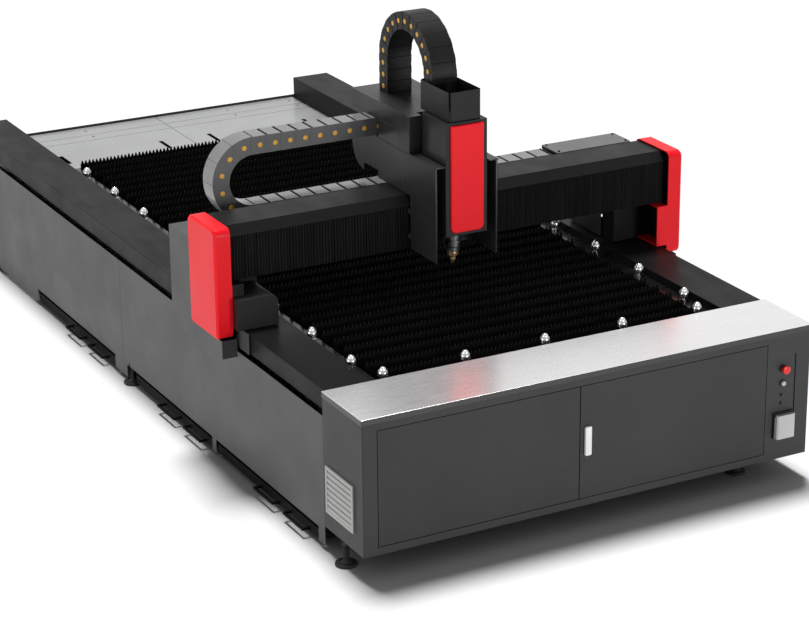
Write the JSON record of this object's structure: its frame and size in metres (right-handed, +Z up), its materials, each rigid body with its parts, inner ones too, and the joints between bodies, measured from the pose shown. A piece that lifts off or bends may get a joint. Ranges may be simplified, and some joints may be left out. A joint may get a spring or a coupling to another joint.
{
  "type": "fiber laser cutting machine",
  "caption": "Open flat-bed laser cutter: slatted bed, front cabinet, gantry with bellows and red end caps, carriage with lifting cutting head and cable chains.",
  "frame": {"origin": "on the floor under the middle of the machine's length and width", "axes": "+X to the operator's right, +Y from the front cabinet to the rear deck, +Z up"},
  "size_m": [2.34, 4.676, 1.9055],
  "materials": {
    "grey_paint": "satin powder coat",
    "dark_grey_paint": "satin powder coat",
    "light_grey_paint": "satin powder coat",
    "black_paint": "satin",
    "red_paint": "semi gloss",
    "brushed_steel": "brushed",
    "ground_steel": "ground",
    "polished_steel": "polished",
    "brass": "turned",
    "black_plastic": "matt",
    "light_plastic": "satin",
    "red_plastic": "gloss",
    "white_metal": "satin",
    "black_rubber": "matt",
    "black_cloth": "matt"
  },
  "bodies": {
    "bed": {"cabinet_shell": "dark_grey_paint", "cabinet_front_frame": "dark_grey_paint", "cabinet_top_plate": "brushed_steel", "vent_grille": "light_plastic", "panel_fittings": "black_plastic", "bed_panels": "grey_paint", "bed_frame": "black_paint", "levelling_feet": "black_rubber", "slats": "black_paint", "ball_ledges": "dark_grey_paint", "ball_units": "polished_steel", "rail_guards": "dark_grey_paint", "bed_rails": "ground_steel", "rear_deck": "light_grey_paint"},
    "left_door": {"door_left": "dark_grey_paint"},
    "right_door": {"door_right": "dark_grey_paint"},
    "handle": {"door_handle": "white_metal"},
    "stop_button": {"emergency_stop": "red_plastic"},
    "start": {"start_button": "light_plastic"},
    "flap": {"socket_flap": "light_plastic"},
    "gantry": {"gantry_beam": "black_paint", "beam_cover": "dark_grey_paint", "beam_rails": "ground_steel", "bellows_left": "black_cloth", "bellows_right": "black_cloth", "gantry_columns": "dark_grey_paint", "gantry_guide_blocks": "ground_steel", "gantry_motors": "black_paint", "end_caps": "red_paint", "end_housings": "grey_paint", "foot_box": "black_paint", "chain_tray": "dark_grey_paint", "junction_box": "light_grey_paint", "x_chain_lower": "black_plastic"},
    "left_pinion": {"gantry_pinion_left": "ground_steel"},
    "right_pinion": {"gantry_pinion_right": "ground_steel"},
    "x_chain": {"x_chain_bend": "black_plastic"},
    "carriage": {"carriage_frame": "dark_grey_paint", "carriage_top_plate": "grey_paint", "carriage_upper_box": "dark_grey_paint", "carriage_guide_blocks": "ground_steel", "carriage_motors": "black_paint", "lift_rails": "ground_steel", "x_chain_upper": "black_plastic", "z_chain_rear": "black_plastic"},
    "x_pinion": {"carriage_pinion": "ground_steel"},
    "screw": {"lift_screw": "ground_steel"},
    "lift": {"lift_frame": "black_paint", "head_cover": "red_paint", "hood": "black_paint", "cutting_head": "grey_paint", "nozzle": "brass", "z_chain_front": "black_plastic"},
    "z_chain": {"z_chain_bend": "black_plastic"},
    "left_front_drawer": {"drawer_left_front": "dark_grey_paint"},
    "left_middle_drawer": {"drawer_left_middle": "dark_grey_paint"},
    "left_rear_drawer": {"drawer_left_rear": "dark_grey_paint"},
    "right_front_drawer": {"drawer_right_front": "dark_grey_paint"},
    "right_middle_drawer": {"drawer_right_middle": "dark_grey_paint"},
    "right_rear_drawer": {"drawer_right_rear": "dark_grey_paint"}
  },
  "joints": [
    {"name": "gantry_slide", "type": "slide", "parent": "bed", "child": "gantry", "axis": [0, 1, 0], "range_m": [-0.62, 2.38]},
    {"name": "carriage_slide", "type": "slide", "parent": "gantry", "child": "carriage", "axis": [1, 0, 0], "range_m": [-0.679, 0.821], "deforming": ["bellows_left", "bellows_right", "x_chain_lower", "x_chain_upper"]},
    {"name": "lift_slide", "type": "slide", "parent": "carriage", "child": "lift", "axis": [0, 0, 1], "range_m": [-0.12, 0], "deforming": ["z_chain_front", "z_chain_rear"]},
    {"name": "x_chain_roll", "type": "slide", "parent": "gantry", "child": "x_chain", "axis": [1, 0, 0], "range_m": [-0.3396, 0.4106]},
    {"name": "z_chain_roll", "type": "slide", "parent": "carriage", "child": "z_chain", "axis": [0, 0, 1], "range_m": [-0.0601, 0]},
    {"name": "left_pinion_turn", "type": "hinge", "parent": "gantry", "child": "left_pinion", "pos_m": [-1.0153, -0.947, 0.515], "axis": [0, 0, 1], "continuous": true},
    {"name": "right_pinion_turn", "type": "hinge", "parent": "gantry", "child": "right_pinion", "pos_m": [1.0153, -0.947, 0.515], "axis": [0, 0, 1], "continuous": true},
    {"name": "carriage_pinion_turn", "type": "hinge", "parent": "carriage", "child": "x_pinion", "pos_m": [-0.071, -0.8557, 1.12], "axis": [0, 0, 1], "continuous": true},
    {"name": "lift_screw_turn", "type": "hinge", "parent": "carriage", "child": "screw", "pos_m": [-0.071, -1.152, 1.125], "axis": [0, 0, 1], "continuous": true},
    {"name": "left_door_hinge", "type": "hinge", "parent": "bed", "child": "left_door", "pos_m": [-1, -2.296, 0.395], "axis": [0, 0, -1], "range_deg": [0, 105]},
    {"name": "right_door_hinge", "type": "hinge", "parent": "bed", "child": "right_door", "pos_m": [0.846, -2.296, 0.395], "axis": [0, 0, 1], "range_deg": [0, 105]},
    {"name": "door_handle_turn", "type": "hinge", "parent": "right_door", "child": "handle", "pos_m": [-0.04, -2.305, 0.45], "axis": [0, -1, 0], "range_deg": [0, 90]},
    {"name": "emergency_stop_push", "type": "slide", "parent": "bed", "child": "stop_button", "axis": [0, 1, 0], "range_m": [0, 0.004], "stiffness_N_per_m": 2500},
    {"name": "start_button_push", "type": "slide", "parent": "bed", "child": "start", "axis": [0, 1, 0], "range_m": [0, 0.003], "stiffness_N_per_m": 1500},
    {"name": "socket_flap_hinge", "type": "hinge", "parent": "bed", "child": "flap", "pos_m": [0.942, -2.319, 0.32], "axis": [-1, 0, 0], "range_deg": [0, 90]},
    {"name": "left_front_drawer_slide", "type": "slide", "parent": "bed", "child": "left_front_drawer", "axis": [-1, 0, 0], "range_m": [0, 0.6]},
    {"name": "left_middle_drawer_slide", "type": "slide", "parent": "bed", "child": "left_middle_drawer", "axis": [-1, 0, 0], "range_m": [0, 0.6]},
    {"name": "left_rear_drawer_slide", "type": "slide", "parent": "bed", "child": "left_rear_drawer", "axis": [-1, 0, 0], "range_m": [0, 0.6]},
    {"name": "right_front_drawer_slide", "type": "slide", "parent": "bed", "child": "right_front_drawer", "axis": [1, 0, 0], "range_m": [0, 0.6]},
    {"name": "right_middle_drawer_slide", "type": "slide", "parent": "bed", "child": "right_middle_drawer", "axis": [1, 0, 0], "range_m": [0, 0.6]},
    {"name": "right_rear_drawer_slide", "type": "slide", "parent": "bed", "child": "right_rear_drawer", "axis": [1, 0, 0], "range_m": [0, 0.6]}
  ],
  "couplings": [
    {"joint": "x_chain_roll", "follows": "carriage_slide", "ratio": 0.5},
    {"joint": "z_chain_roll", "follows": "lift_slide", "ratio": 0.5},
    {"joint": "left_pinion_turn", "follows": "gantry_slide", "rad_per_m": -33.333},
    {"joint": "right_pinion_turn", "follows": "gantry_slide", "rad_per_m": 33.333},
    {"joint": "carriage_pinion_turn", "follows": "carriage_slide", "rad_per_m": -40},
    {"joint": "lift_screw_turn", "follows": "lift_slide", "rad_per_m": 314.16}
  ]
}
